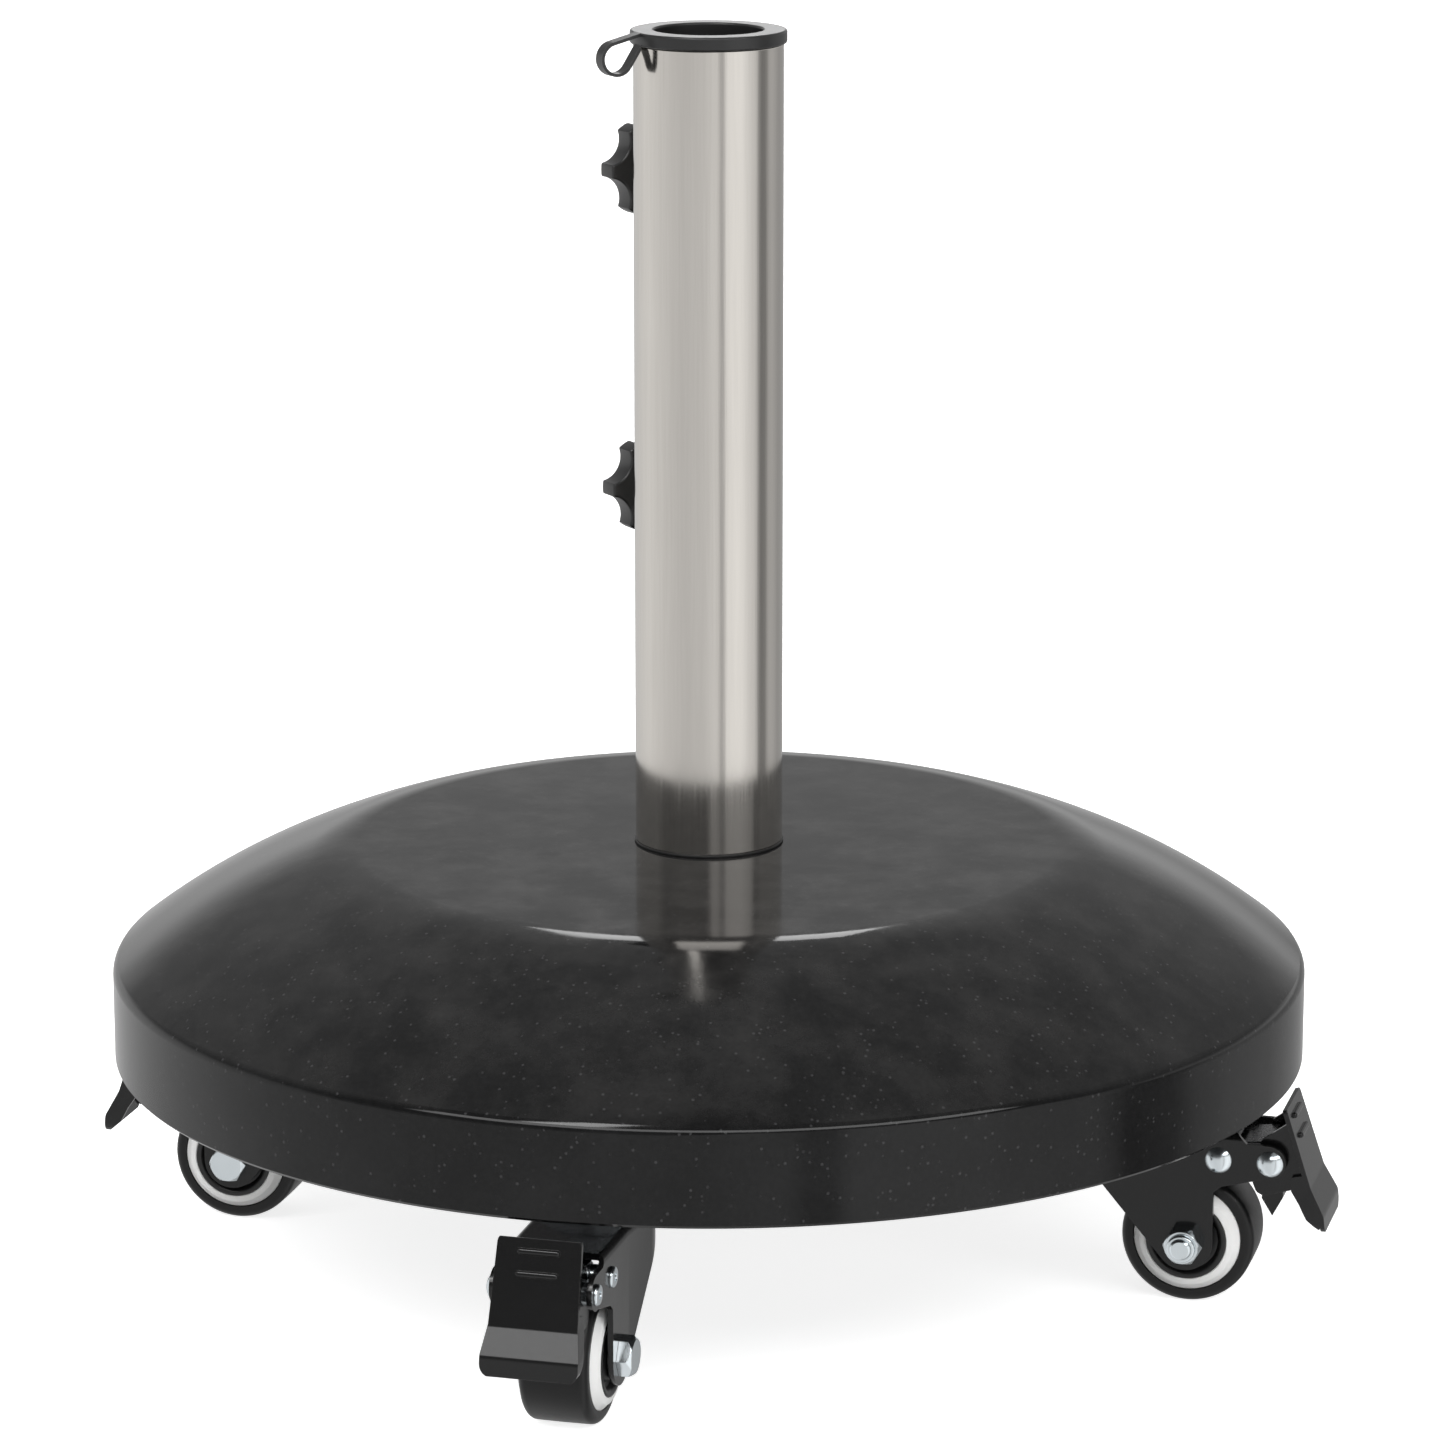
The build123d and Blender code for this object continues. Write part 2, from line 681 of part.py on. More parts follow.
def reducer_cap():
    cap = ring(cap_radius, cap_hole_radius, cap_underside, cap_top)
    cap = fillet(cap.edges().filter_by(GeomType.CIRCLE).group_by(Axis.Z)[-1], cap_edge_round)
    low = tube_end - cap_sleeve_depth
    inner = ring(cap_hole_radius + cap_sleeve_wall, cap_hole_radius, low, cap_underside + 1)
    outer = ring(cap_sleeve_radius, cap_sleeve_radius - cap_sleeve_wall, low, cap_underside + 1)
    cap += inner + outer
    gap = cap_sleeve_radius - cap_hole_radius - 1.0
    rib = Box(gap, cap_rib_width, cap_sleeve_depth, align=(Align.MIN, Align.CENTER, Align.MIN))
    for index in range(cap_rib_count):
        turn = Rot(0, 0, 360 * index / cap_rib_count)
        cap += turn * Pos(cap_hole_radius + 0.5, 0, low) * rib
    return cap


def loop_outline(inset):
    """The finger loop from the side: a drop shape hanging from the flange's edge."""
    bow_u = cap_radius + loop_reach - loop_bow_radius
    bow = Pos(bow_u, cap_top - loop_bow_drop) * Circle(loop_bow_radius - inset)
    root = Pos(cap_radius - 0.4, cap_top - loop_root_drop) * Circle(loop_root_radius - inset)
    return make_hull(bow.edges() + root.edges())


def cap_pull_loop():
    band = loop_outline(0) - loop_outline(loop_sheet)
    strap = extrude(upright(band), loop_width / 2, both=True)
    strap -= ring(cap_radius, 0, 0, cap_top + 10)
    return Rot(0, 0, loop_angle) * strap


# ----------------------------------------------------------------- knob pieces

def knob_place(drop):
    """The frame of one knob: +Z runs out along the stud, away from the tube."""
    direction = Vector(cos(radians(knob_angle)), sin(radians(knob_angle)), 0)
    return Plane(origin=(0, 0, cap_top - drop), x_dir=(0, 0, 1), z_dir=direction)


def clamp_stud(drop):
    end = knob_face + knob_socket_depth - body_gap
    stud = ring(stud_radius, 0, stud_tip_radius, end)
    stud = chamfer(stud.edges().group_by(Axis.Z)[0], 0.8)
    return knob_place(drop) * stud


def star_knob(drop):
    lobe_half = degrees(atan2(knob_lobe_width / 2, knob_radius))
    valley_half = radians(180 / knob_lobes - lobe_half)
    chord = knob_radius * sin(valley_half)
    depth = knob_radius * cos(valley_half) - knob_waist_radius
    scallop = (chord ** 2 + depth ** 2) / (2 * depth)
    star = Circle(knob_radius)
    for index in range(knob_lobes):
        angle = radians(index * 360 / knob_lobes)
        away = knob_waist_radius + scallop
        star -= Pos(away * cos(angle), away * sin(angle)) * Circle(scallop)
    head = Pos(0, 0, knob_face) * extrude(star, knob_depth)
    rims = head.edges().group_by(Axis.Z)
    head = fillet(rims[0] + rims[-1], knob_edge_round)
    hub = ring(knob_hub_radius, 0, knob_face + knob_depth - 1, knob_face + knob_depth + knob_hub_height)
    head += fillet(hub.edges().group_by(Axis.Z)[-1], 0.8)
    head -= ring(stud_bore, 0, knob_face - 1, knob_face + knob_socket_depth)
    return knob_place(drop) * head


# ------------------------------------------------------------------------ build

save(stone_base(), "stone_base")
save(pole_tube(), "pole_tube")
save(tube_floor_plate(), "tube_floor_plate")
save(tie_bolt(), "tie_bolt")
save(tie_washer(), "tie_washer")
save(foot_gasket(), "foot_gasket")
save(knob_bosses(), "knob_bosses")
save(around_stone(castor_insert()), "castor_inserts")
save(around_stone(castor_stem()), "castor_stems")
save(around_stone(upper_race()), "castor_upper_races")
save(bearing_balls(), "castor_bearing_balls")

castor_pieces = {
    "fork": castor_fork(),
    "fork_rivets": fork_rivets(),
    "axle_bolt_set": axle_bolt_set(),
    "axle_bush": axle_bush(),
    "brake_spring": detent_spring(),
    "tyre": tyre(),
    "wheel_rim": wheel_rim(),
    "hub_covers": hub_covers(),
    "brake_pedal": brake_pedal(),
    "brake_shoe": brake_shoe(),
}
for place, angle in castor_places.items():
    for piece, solid in castor_pieces.items():
        save(Rot(0, 0, angle) * Pos(castor_axle_circle, 0, 0) * solid, f"{place}_{piece}")

save(reducer_cap(), "reducer_cap")
save(cap_pull_loop(), "cap_pull_loop")
for level, drop in knob_drops.items():
    save(clamp_stud(drop), f"{level}_clamp_stud")
    save(star_knob(drop), f"{level}_star_knob")
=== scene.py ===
import json
import math

import bmesh
import bpy
from mathutils import Matrix, Vector


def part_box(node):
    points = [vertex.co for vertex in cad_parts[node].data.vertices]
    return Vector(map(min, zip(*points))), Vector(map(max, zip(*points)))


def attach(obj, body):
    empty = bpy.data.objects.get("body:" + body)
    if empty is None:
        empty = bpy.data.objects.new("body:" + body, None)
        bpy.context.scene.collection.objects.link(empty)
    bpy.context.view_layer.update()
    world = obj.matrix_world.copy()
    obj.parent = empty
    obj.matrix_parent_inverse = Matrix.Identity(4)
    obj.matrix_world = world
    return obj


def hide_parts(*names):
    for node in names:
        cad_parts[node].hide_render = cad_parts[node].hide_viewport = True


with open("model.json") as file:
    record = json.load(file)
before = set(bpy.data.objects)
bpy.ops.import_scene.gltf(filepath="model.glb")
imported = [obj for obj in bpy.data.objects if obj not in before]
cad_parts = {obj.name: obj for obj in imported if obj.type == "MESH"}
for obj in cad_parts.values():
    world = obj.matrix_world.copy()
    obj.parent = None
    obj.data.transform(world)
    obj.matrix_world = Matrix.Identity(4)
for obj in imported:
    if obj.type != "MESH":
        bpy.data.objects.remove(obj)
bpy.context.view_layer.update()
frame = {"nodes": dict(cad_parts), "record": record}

# Parasol base: a polished granite disc on four braked castors, with a steel pole tube.
# Lengths in the dictionaries are millimetres; meshes are scaled to metres when finished.
mm = 0.001
castorPlaces = {"right": 0, "front": -90, "left": 180, "back": 90}


def nodeBox(node):
    low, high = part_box(node)
    return Vector(low) / mm, Vector(high) / mm


# mesh helpers

def spinProfile(points, steps=128, axis="Z"):
    # points are (radius, place along the axis); an open profile may end on the axis
    bm = bmesh.new()
    if axis == "Z":
        verts = [bm.verts.new((r, 0, h)) for r, h in points]
        about = (0, 0, 1)
    else:
        verts = [bm.verts.new((0, h, r)) for r, h in points]
        about = (0, 1, 0)
    closed = points[0][0] > 0.001 or points[-1][0] > 0.001
    edges = [bm.edges.new(pair) for pair in zip(verts, verts[1:])]
    if closed:
        edges.append(bm.edges.new((verts[-1], verts[0])))
    bmesh.ops.spin(bm, geom=verts + edges, cent=(0, 0, 0), axis=about,
                   angle=math.tau, steps=steps, use_merge=True)
    bmesh.ops.remove_doubles(bm, verts=bm.verts, dist=0.0005)
    bmesh.ops.recalc_face_normals(bm, faces=bm.faces)
    return bm


def arcPoints(centre, radius, start, end, count):
    # a round stretch of a profile, angles in degrees
    turn = [math.radians(start + (end - start) * i / count) for i in range(count + 1)]
    return [(centre[0] + radius * math.cos(a), centre[1] + radius * math.sin(a)) for a in turn]


def softenEdges(bm, width, sharper=30, segments=2, keep=None):
    edges = [e for e in bm.edges if e.is_manifold and e.calc_face_angle() > math.radians(sharper)]
    if keep:
        edges = [e for e in edges if keep(e)]
    bmesh.ops.bevel(bm, geom=edges, offset=width, offset_type="OFFSET", segments=segments,
                    profile=0.5, affect="EDGES", clamp_overlap=True, material=-1)


def copyOfNode(node, width):
    # the CAD shape with its thin triangles joined up and its edges broken by a small radius
    bm = bmesh.new()
    bm.from_mesh(frame["nodes"][node].data)
    bmesh.ops.scale(bm, vec=(1 / mm,) * 3, verts=bm.verts)
    bmesh.ops.remove_doubles(bm, verts=bm.verts, dist=0.002)
    bmesh.ops.dissolve_limit(bm, angle_limit=math.radians(0.8), verts=bm.verts, edges=bm.edges)
    bmesh.ops.recalc_face_normals(bm, faces=bm.faces)
    softenEdges(bm, width, sharper=28)
    return bm


def finishPiece(bm, name, finish, body, *nodes, weighted=False):
    bmesh.ops.scale(bm, vec=(mm,) * 3, verts=bm.verts)
    mesh = bpy.data.meshes.new(name)
    bm.to_mesh(mesh)
    bm.free()
    mesh.shade_smooth()
    mesh.set_sharp_from_angle(angle=math.radians(40))
    piece = bpy.data.objects.new(name, mesh)
    bpy.context.scene.collection.objects.link(piece)
    mesh.materials.append(finishes[finish])
    if weighted:
        even = piece.modifiers.new("evenNormals", "WEIGHTED_NORMAL")
        even.keep_sharp = True
        even.weight = 60
    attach(piece, body)
    if nodes:
        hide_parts(*nodes)
    return piece


# shader helpers

def addNode(tree, kind, place, **inputs):
    node = tree.nodes.new(kind)
    node.location = (place[0] * 200, place[1] * -160)
    for key, value in inputs.items():
        node.inputs[key.replace("_", " ")].default_value = value
    return node


def newGroup(name, inputs, outputs):
    # inputs and outputs are lists of (name, socket kind, default)
    tree = bpy.data.node_groups.new(name, "ShaderNodeTree")
    for label, kind, value in inputs:
        socket = tree.interface.new_socket(label, in_out="INPUT", socket_type="NodeSocket" + kind)
        if kind != "Vector":
            socket.default_value = value
    for label, kind in outputs:
        tree.interface.new_socket(label, in_out="OUTPUT", socket_type="NodeSocket" + kind)
    return tree, tree.nodes.new("NodeGroupInput"), tree.nodes.new("NodeGroupOutput")


def maths(tree, operation, place, first, second=None, clamp=False):
    node = addNode(tree, "ShaderNodeMath", place)
    node.operation = operation
    node.use_clamp = clamp
    for slot, value in enumerate((first, second)):
        if value is None:
            continue
        if isinstance(value, (int, float)):
            node.inputs[slot].default_value = value
        else:
            tree.links.new(value, node.inputs[slot])
    return node.outputs[0]


def mapRange(tree, place, value, fromLow, fromHigh, toLow, toHigh):
    node = addNode(tree, "ShaderNodeMapRange", place)
    node.clamp = True
    for slot, number in enumerate((value, fromLow, fromHigh, toLow, toHigh)):
        if isinstance(number, (int, float)):
            node.inputs[slot].default_value = number
        else:
            tree.links.new(number, node.inputs[slot])
    return node.outputs[0]


def mixColours(tree, place, factor, first, second):
    node = tree.nodes.new("ShaderNodeMix")
    node.data_type = "RGBA"
    node.location = (place[0] * 200, place[1] * -160)
    tree.links.new(factor, node.inputs["Factor"])
    for socket, value in ((node.inputs["A"], first), (node.inputs["B"], second)):
        if isinstance(value, (tuple, list)):
            socket.default_value = (*value, 1)
        else:
            tree.links.new(value, socket)
    return node.outputs["Result"]


def noiseAt(tree, place, vector, scale, detail=3.0, roughness=0.55):
    node = addNode(tree, "ShaderNodeTexNoise", place, Scale=scale, Detail=detail, Roughness=roughness)
    tree.links.new(vector, node.inputs["Vector"])
    return node.outputs["Fac"]


def stretched(tree, place, vector, scale):
    node = addNode(tree, "ShaderNodeMapping", place)
    node.inputs["Scale"].default_value = scale
    tree.links.new(vector, node.inputs["Vector"])
    return node.outputs["Vector"]


# shared effects

def makeGrainGroup():
    # fine moulded or sprayed grain: uneven roughness and a shallow height
    tree, source, sink = newGroup("fineGrain", [
        ("Vector", "Vector", None), ("Grain Scale", "Float", 900.0), ("Roughness", "Float", 0.3),
        ("Spread", "Float", 0.08), ("Cloud Scale", "Float", 40.0)],
        [("Roughness", "Float"), ("Height", "Float"), ("Cloud", "Float")])
    fine = addNode(tree, "ShaderNodeTexNoise", (1, 0), Detail=2.0)
    cloud = addNode(tree, "ShaderNodeTexNoise", (1, 1), Detail=4.0, Roughness=0.6)
    for node, scale in ((fine, "Grain Scale"), (cloud, "Cloud Scale")):
        tree.links.new(source.outputs["Vector"], node.inputs["Vector"])
        tree.links.new(source.outputs[scale], node.inputs["Scale"])
    both = maths(tree, "ADD", (2, 0), fine.outputs["Fac"], cloud.outputs["Fac"])
    shift = maths(tree, "MULTIPLY", (3, 0), maths(tree, "SUBTRACT", (2, 1), both, 1.0),
                  source.outputs["Spread"])
    tree.links.new(maths(tree, "ADD", (4, 0), source.outputs["Roughness"], shift, clamp=True),
                   sink.inputs["Roughness"])
    tree.links.new(fine.outputs["Fac"], sink.inputs["Height"])
    tree.links.new(cloud.outputs["Fac"], sink.inputs["Cloud"])
    return tree


def makeWearGroup():
    # rubbed edges: where the rounded normal leaves the true one, broken up by noise
    tree, source, sink = newGroup("edgeWear", [
        ("Vector", "Vector", None), ("Width", "Float", 0.0006), ("Amount", "Float", 0.5),
        ("Breakup", "Float", 260.0)], [("Wear", "Float")])
    rounded = addNode(tree, "ShaderNodeBevel", (1, 0))
    rounded.samples = 4
    tree.links.new(source.outputs["Width"], rounded.inputs["Radius"])
    true = tree.nodes.new("ShaderNodeNewGeometry")
    dot = tree.nodes.new("ShaderNodeVectorMath")
    dot.operation = "DOT_PRODUCT"
    tree.links.new(rounded.outputs["Normal"], dot.inputs[0])
    tree.links.new(true.outputs["Normal"], dot.inputs[1])
    edge = mapRange(tree, (3, 0), dot.outputs["Value"], 0.99, 0.86, 0.0, 1.0)
    breakup = addNode(tree, "ShaderNodeTexNoise", (1, 2), Detail=4.0)
    tree.links.new(source.outputs["Vector"], breakup.inputs["Vector"])
    tree.links.new(source.outputs["Breakup"], breakup.inputs["Scale"])
    patch = mapRange(tree, (3, 2), breakup.outputs["Fac"], 0.42, 0.6, 0.0, 1.0)
    worn = maths(tree, "MULTIPLY", (4, 0), edge, patch)
    tree.links.new(maths(tree, "MULTIPLY", (5, 0), worn, source.outputs["Amount"], clamp=True),
                   sink.inputs["Wear"])
    return tree


def makeBrushedGroup():
    # fine drawn lines along Z
    tree, source, sink = newGroup("brushedLines", [
        ("Vector", "Vector", None), ("Roughness", "Float", 0.3), ("Spread", "Float", 0.1)],
        [("Roughness", "Float"), ("Height", "Float"), ("Tone", "Float")])
    vector = source.outputs["Vector"]
    fine = noiseAt(tree, (2, 0), stretched(tree, (1, 0), vector, (1, 1, 0.012)), 1500, 3.0, 0.65)
    coarse = noiseAt(tree, (2, 1), stretched(tree, (1, 1), vector, (1, 1, 0.03)), 420, 4.0, 0.6)
    blotch = noiseAt(tree, (2, 2), stretched(tree, (1, 2), vector, (1, 1, 0.5)), 26, 3.0, 0.5)
    lines = maths(tree, "ADD", (3, 0), fine, coarse)
    shift = maths(tree, "MULTIPLY", (4, 0), maths(tree, "SUBTRACT", (3, 1), lines, 1.0),
                  source.outputs["Spread"])
    tree.links.new(maths(tree, "ADD", (5, 0), source.outputs["Roughness"], shift, clamp=True),
                   sink.inputs["Roughness"])
    tree.links.new(lines, sink.inputs["Height"])
    tree.links.new(maths(tree, "ADD", (4, 2), maths(tree, "MULTIPLY", (3, 2), lines, 0.35),
                         maths(tree, "MULTIPLY", (3, 3), blotch, 0.3), clamp=True),
                   sink.inputs["Tone"])
    return tree


def makeDustGroup():
    # a thin film that lies on faces that look up
    tree, source, sink = newGroup("settledDust", [
        ("Vector", "Vector", None), ("Amount", "Float", 0.1), ("Scale", "Float", 60.0)],
        [("Dust", "Float")])
    true = tree.nodes.new("ShaderNodeNewGeometry")
    parts = tree.nodes.new("ShaderNodeSeparateXYZ")
    tree.links.new(true.outputs["Normal"], parts.inputs[0])
    upward = mapRange(tree, (2, 0), parts.outputs["Z"], 0.5, 1.0, 0.0, 1.0)
    cloud = addNode(tree, "ShaderNodeTexNoise", (1, 1), Detail=6.0, Roughness=0.65)
    tree.links.new(source.outputs["Vector"], cloud.inputs["Vector"])
    tree.links.new(source.outputs["Scale"], cloud.inputs["Scale"])
    patch = mapRange(tree, (2, 1), cloud.outputs["Fac"], 0.4, 0.75, 0.0, 1.0)
    film = maths(tree, "MULTIPLY", (3, 0), upward, patch)
    tree.links.new(maths(tree, "MULTIPLY", (4, 0), film, source.outputs["Amount"], clamp=True),
                   sink.inputs["Dust"])
    return tree


effects = {
    "grain": makeGrainGroup(),
    "wear": makeWearGroup(),
    "brushed": makeBrushedGroup(),
    "dust": makeDustGroup(),
}


def newFinish(name, **constants):
    # an empty material with its shader and object coordinates
    material = bpy.data.materials.new(name)
    material.use_nodes = True
    tree = material.node_tree
    shader = tree.nodes["Principled BSDF"]
    for key, value in constants.items():
        shader.inputs[key.replace("_", " ")].default_value = value
    coordinates = addNode(tree, "ShaderNodeTexCoord", (-6, 0)).outputs["Object"]
    return material, tree, shader, coordinates


def useEffect(tree, kind, place, vector, **inputs):
    node = tree.nodes.new("ShaderNodeGroup")
    node.node_tree = effects[kind]
    node.location = (place[0] * 200, place[1] * -160)
    tree.links.new(vector, node.inputs["Vector"])
    for key, value in inputs.items():
        node.inputs[key.replace("_", " ")].default_value = value
    return node


def bumpInto(tree, shader, height, strength, distance):
    bump = addNode(tree, "ShaderNodeBump", (-1, 3), Strength=strength, Distance=distance)
    tree.links.new(height, bump.inputs["Height"])
    tree.links.new(bump.outputs["Normal"], shader.inputs["Normal"])


# finishes

graniteLook = {
    "dark": (0.0035, 0.0035, 0.0036),
    "grey": (0.0075, 0.0075, 0.0077),
    "fleck": (0.03, 0.03, 0.031),
    "roughness": 0.07,
}


def makeGranite():
    material, tree, shader, vector = newFinish("granite", IOR=1.35)
    clouds = noiseAt(tree, (-5, 0), vector, 34, 5.0, 0.62)
    crystals = noiseAt(tree, (-5, 1), vector, 620, 3.0, 0.7)
    flecks = addNode(tree, "ShaderNodeTexVoronoi", (-5, 2), Scale=520.0)
    tree.links.new(vector, flecks.inputs["Vector"])
    pick = tree.nodes.new("ShaderNodeSeparateXYZ")
    tree.links.new(flecks.outputs["Color"], pick.inputs[0])
    near = mapRange(tree, (-4, 2), flecks.outputs["Distance"], 0.16, 0.36, 1.0, 0.0)
    chosen = mapRange(tree, (-4, 3), pick.outputs["X"], 0.86, 0.9, 0.0, 1.0)
    fleck = maths(tree, "MULTIPLY", (-3, 2), near, chosen)
    ground = mapRange(tree, (-4, 0), maths(tree, "ADD", (-4, 1), clouds, crystals), 0.8, 1.25, 0.0, 1.0)
    base = mixColours(tree, (-2, 0), ground, graniteLook["dark"], graniteLook["grey"])
    base = mixColours(tree, (-1, 0), fleck, base, graniteLook["fleck"])
    dust = useEffect(tree, "dust", (-3, 5), vector, Amount=0.06, Scale=45.0)
    base = mixColours(tree, (0, 0), dust.outputs["Dust"], base, (0.3, 0.29, 0.28))
    tree.links.new(base, shader.inputs["Base Color"])
    polish = mapRange(tree, (-2, 2), clouds, 0.35, 0.7, graniteLook["roughness"] * 0.75,
                      graniteLook["roughness"] * 1.35)
    dulled = maths(tree, "MULTIPLY", (-2, 3), dust.outputs["Dust"], 1.5)
    polish = maths(tree, "ADD", (-1, 2), polish, dulled)
    tree.links.new(polish, shader.inputs["Roughness"])
    bumpInto(tree, shader, clouds, 0.08, 0.0006)
    return material


steelLook = {"light": (0.7, 0.67, 0.63), "dark": (0.53, 0.505, 0.47), "roughness": 0.13, "spread": 0.08}


def makeTubeSteel():
    material, tree, shader, vector = newFinish("tube_steel", Metallic=1.0)
    lines = useEffect(tree, "brushed", (-4, 0), vector, Roughness=steelLook["roughness"],
                      Spread=steelLook["spread"])
    tone = lines.outputs["Tone"]
    tree.links.new(mixColours(tree, (-2, 0), tone, steelLook["dark"], steelLook["light"]),
                   shader.inputs["Base Color"])
    tree.links.new(lines.outputs["Roughness"], shader.inputs["Roughness"])
    bumpInto(tree, shader, lines.outputs["Height"], 0.22, 0.00006)
    return material


def makeCoated(name, dark, light, roughness, spread, grainScale, bump, depth, wear=None, wearTone=None,
               dustAmount=0.0, **constants):
    # paint, plating, rubber and moulded plastic share this build-up
    material, tree, shader, vector = newFinish(name, **constants)
    grain = useEffect(tree, "grain", (-5, 0), vector, Grain_Scale=grainScale, Roughness=roughness,
                      Spread=spread)
    base = mixColours(tree, (-3, 0), grain.outputs["Cloud"], dark, light)
    if wear:
        rubbed = useEffect(tree, "wear", (-5, 2), vector, Amount=wear)
        base = mixColours(tree, (-2, 0), rubbed.outputs["Wear"], base, wearTone)
    if dustAmount:
        dust = useEffect(tree, "dust", (-5, 4), vector, Amount=dustAmount, Scale=150.0)
        base = mixColours(tree, (-1, 0), dust.outputs["Dust"], base, (0.32, 0.31, 0.3))
    tree.links.new(base, shader.inputs["Base Color"])
    tree.links.new(grain.outputs["Roughness"], shader.inputs["Roughness"])
    bumpInto(tree, shader, grain.outputs["Height"], bump, depth)
    return material


finishes = {
    # dark tone, light tone, roughness, spread, grain scale, bump, depth in metres
    "granite": makeGranite(),
    "tube_steel": makeTubeSteel(),
    "zinc_plate": makeCoated(
        "zinc_plate", (0.62, 0.68, 0.71), (0.82, 0.87, 0.9), 0.2, 0.12, 1400, 0.12, 0.00003,
        wear=0.5, wearTone=(0.5, 0.5, 0.5), Metallic=1.0),
    "bearing_steel": makeCoated(
        "bearing_steel", (0.42, 0.42, 0.43), (0.62, 0.62, 0.63), 0.26, 0.12, 900, 0.1, 0.00004,
        Metallic=1.0),
    "insert_brass": makeCoated(
        "insert_brass", (0.6, 0.42, 0.16), (0.78, 0.6, 0.28), 0.3, 0.12, 900, 0.1, 0.00004,
        Metallic=1.0),
    "gasket_rubber": makeCoated(
        "gasket_rubber", (0.006, 0.006, 0.006), (0.011, 0.011, 0.011), 0.5, 0.1, 1200, 0.2, 0.00006),
    "black_enamel": makeCoated(
        "black_enamel", (0.0025, 0.0025, 0.0026), (0.0045, 0.0045, 0.0046), 0.17, 0.06, 520, 0.16,
        0.00007, wear=0.3, wearTone=(0.07, 0.069, 0.067), dustAmount=0.02, IOR=1.4,
        Coat_Weight=0.2, Coat_Roughness=0.1),
    "tyre_black": makeCoated(
        "tyre_black", (0.004, 0.004, 0.0041), (0.0075, 0.0075, 0.0077), 0.34, 0.1, 700, 0.18, 0.00006,
        dustAmount=0.02, IOR=1.38),
    "rim_grey": makeCoated(
        "rim_grey", (0.8, 0.8, 0.79), (0.88, 0.88, 0.87), 0.34, 0.08, 700, 0.1, 0.00004),
    "black_plastic": makeCoated(
        "black_plastic", (0.0055, 0.0055, 0.0057), (0.0095, 0.0095, 0.0097), 0.36, 0.1, 900, 0.2,
        0.00006),
    "cap_plastic": makeCoated(
        "cap_plastic", (0.009, 0.009, 0.0092), (0.0135, 0.0135, 0.0138), 0.33, 0.08, 1100, 0.22, 0.00006,
        wear=0.3, wearTone=(0.09, 0.09, 0.09)),
    "knob_plastic": makeCoated(
        "knob_plastic", (0.009, 0.009, 0.0092), (0.014, 0.014, 0.0143), 0.34, 0.08, 1000, 0.22, 0.00006,
        wear=0.4, wearTone=(0.08, 0.08, 0.08)),
}
print("finishes made:", len(finishes))

nodeSlots = {part["node"]: part["material_slot"] for part in frame["record"]["subparts"]}
for node, piece in frame["nodes"].items():
    for index in range(max(1, len(piece.material_slots))):
        if not piece.material_slots:
            piece.data.materials.append(finishes[nodeSlots[node]])
        else:
            piece.material_slots[index].material = finishes[nodeSlots[node]]


# granite disc

discShape = {
    "rimHeight": 35.0,
    "flatInset": 92.0,         # from the rim in to the flat top
    "shoulderRadius": 55.0,
    "shoulderTurn": 18.0,
    "topEdgeRound": 2.4,
    "footChamfer": 1.2,
    "recessRadius": 22.0,
    "recessDepth": 14.0,
    "boltHole": 7.0,
}


def makeGraniteDisc():
    shape = discShape
    low, high = nodeBox("stone_base")
    radius, top = high.x, high.z
    flat = radius - shape["flatInset"]
    rimTop = low.z + shape["rimHeight"]
    shoulder = arcPoints((flat, top - shape["shoulderRadius"]), shape["shoulderRadius"], 90,
                         90 - shape["shoulderTurn"], 10)
    # the long slope leaves the shoulder in line and ends at the rim
    start = Vector(shoulder[-1])
    chord = Vector((radius, rimTop)) - start
    inward = Vector((-math.sin(math.radians(shape["shoulderTurn"])),
                     -math.cos(math.radians(shape["shoulderTurn"]))))
    slopeRadius = chord.length_squared / (2 * chord.dot(inward))
    centre = start + inward * slopeRadius
    first = 90 - shape["shoulderTurn"]
    last = math.degrees(math.atan2(rimTop - centre.y, radius - centre.x))
    slope = arcPoints(centre, slopeRadius, first, last, 36)
    chamfer = shape["footChamfer"]
    ledge = low.z + shape["recessDepth"]
    outline = [(shape["boltHole"], top), (flat * 0.5, top)] + shoulder + slope[1:] + [
        (radius, low.z + chamfer), (radius - chamfer, low.z), (shape["recessRadius"], low.z),
        (shape["recessRadius"], ledge), (shape["boltHole"], ledge)]
    bm = spinProfile(outline, steps=256)
    softenEdges(bm, shape["topEdgeRound"], sharper=25, segments=5,
                keep=lambda e: e.verts[0].co.z > low.z + chamfer + 1 and e.verts[0].co.xy.length > flat)
    return finishPiece(bm, "graniteDisc", "granite", "base", "stone_base", weighted=True)


makeGraniteDisc()
print("granite disc made")


# pole tube, bosses and gasket

tubeShape = {"wall": 1.2, "lipRound": 0.4, "bossRadius": 7.0, "bossBore": 4.0, "bossLength": 5.0,
             "weldRadius": 1.1, "knobAngle": 135.0}
gasketShape = {"inner": 18.0, "round": 0.3}


def turnedTo(bm, angle):
    turn = Matrix.Rotation(math.radians(angle), 3, "Z")
    bmesh.ops.rotate(bm, cent=(0, 0, 0), matrix=turn, verts=bm.verts)


def makePoleTube():
    low, high = nodeBox("pole_tube")
    outer = high.x
    inner = outer - tubeShape["wall"]
    bm = spinProfile([(outer, low.z), (outer, high.z), (inner, high.z), (inner, low.z)], steps=192)
    softenEdges(bm, tubeShape["lipRound"], sharper=60)
    finishPiece(bm, "poleTube", "tube_steel", "base", "pole_tube", weighted=True)


def bossHeights():
    return [(nodeBox(f"{level}_star_knob")[0].z + nodeBox(f"{level}_star_knob")[1].z) / 2
            for level in ("upper", "lower")]


